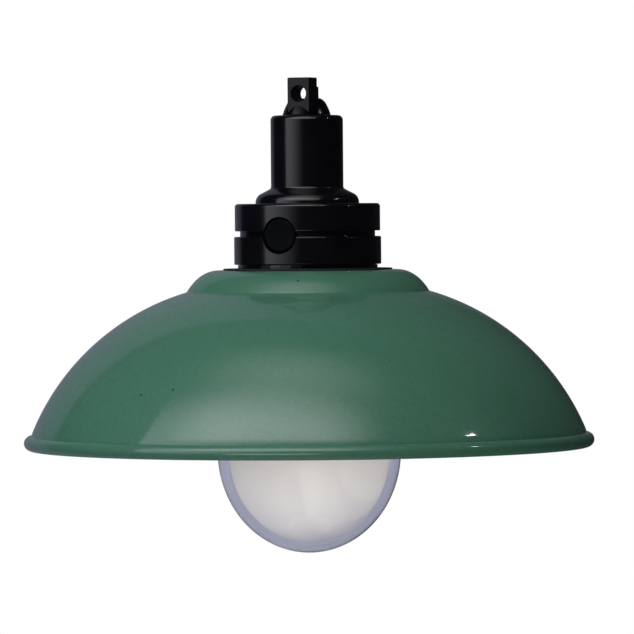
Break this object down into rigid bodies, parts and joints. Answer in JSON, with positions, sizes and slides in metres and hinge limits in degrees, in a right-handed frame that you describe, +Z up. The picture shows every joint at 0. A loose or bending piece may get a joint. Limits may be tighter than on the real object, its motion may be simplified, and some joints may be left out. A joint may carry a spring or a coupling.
{
  "type": "cordless hanging lamp",
  "caption": "Cordless hanging lamp: round enamelled steel shade under a black two-ring housing with a hanging lug, push button and charging port, and a clear dome over a frosted diffuser.",
  "frame": {"origin": "centre of the cross hole in the hanging lug, on the lamp's vertical axis", "axes": "+Z up along the lamp's axis, -Y towards the push button and along the lug hole's axis"},
  "size_m": [0.2598, 0.2598, 0.2163],
  "materials": {
    "black_plastic": "semi-gloss moulded black",
    "satin_black": "satin moulded black",
    "green_enamel": "glossy green enamel outside, white enamel inside",
    "rubber": "matte black",
    "clear_plastic": "clear polished",
    "frosted_plastic": "frosted translucent",
    "steel": "zinc plated",
    "brass": "plain",
    "aluminium": "machined",
    "circuit_board": "solder mask",
    "white_board": "white solder mask",
    "white_plastic": "satin",
    "phosphor": "silicone phosphor",
    "cell_wrap": "shrink wrap",
    "wire_red": "insulated wire",
    "wire_black": "insulated wire"
  },
  "bodies": {
    "lamp": {"hanging_lug": "black_plastic", "lug_washer": "steel", "lug_nut": "steel", "upper_housing": "black_plastic", "lower_housing": "black_plastic", "base_plate": "black_plastic", "housing_screw_1": "steel", "housing_screw_2": "steel", "housing_screw_3": "steel", "housing_screw_4": "steel", "battery_cradle": "satin_black", "battery_contact": "brass", "battery_cell": "cell_wrap", "battery_spring": "steel", "driver_board": "circuit_board", "switch_body": "satin_black", "charging_socket": "steel", "led_wire_red": "wire_red", "led_wire_black": "wire_black", "battery_wire_red": "wire_red", "battery_wire_black": "wire_black", "shade_gasket": "rubber", "shade": "green_enamel", "shade_nut": "satin_black", "globe_holder": "satin_black", "heat_spreader": "aluminium", "led_board": "white_board", "led_emitter": "phosphor", "led_screw_1": "steel", "led_screw_2": "steel", "led_screw_3": "steel"},
    "button": {"button": "satin_black", "switch_plunger": "white_plastic"},
    "port_flap": {"port_flap": "rubber"},
    "diffuser": {"diffuser": "frosted_plastic", "globe_seal": "rubber"},
    "globe": {"globe": "clear_plastic"}
  },
  "joints": [
    {"name": "button_press", "type": "slide", "parent": "lamp", "child": "button", "axis": [0, 1, 0], "range_m": [0, 0.001], "stiffness_N_per_m": 2500, "springref_m": -0.0004},
    {"name": "flap_open", "type": "hinge", "parent": "lamp", "child": "port_flap", "pos_m": [0, 0.03345, -0.0742], "axis": [-1, 0, 0], "range_deg": [0, 110]},
    {"name": "globe_drop", "type": "slide", "parent": "lamp", "child": "diffuser", "axis": [0, 0, -1], "range_m": [0, 0.009]},
    {"name": "globe_unscrew", "type": "hinge", "parent": "diffuser", "child": "globe", "pos_m": [0, 0, -0.098], "axis": [0, 0, 1], "range_deg": [0, 1080]}
  ],
  "couplings": [
    {"joint": "globe_drop", "follows": "globe_unscrew", "m_per_rad": 0.00047746}
  ]
}
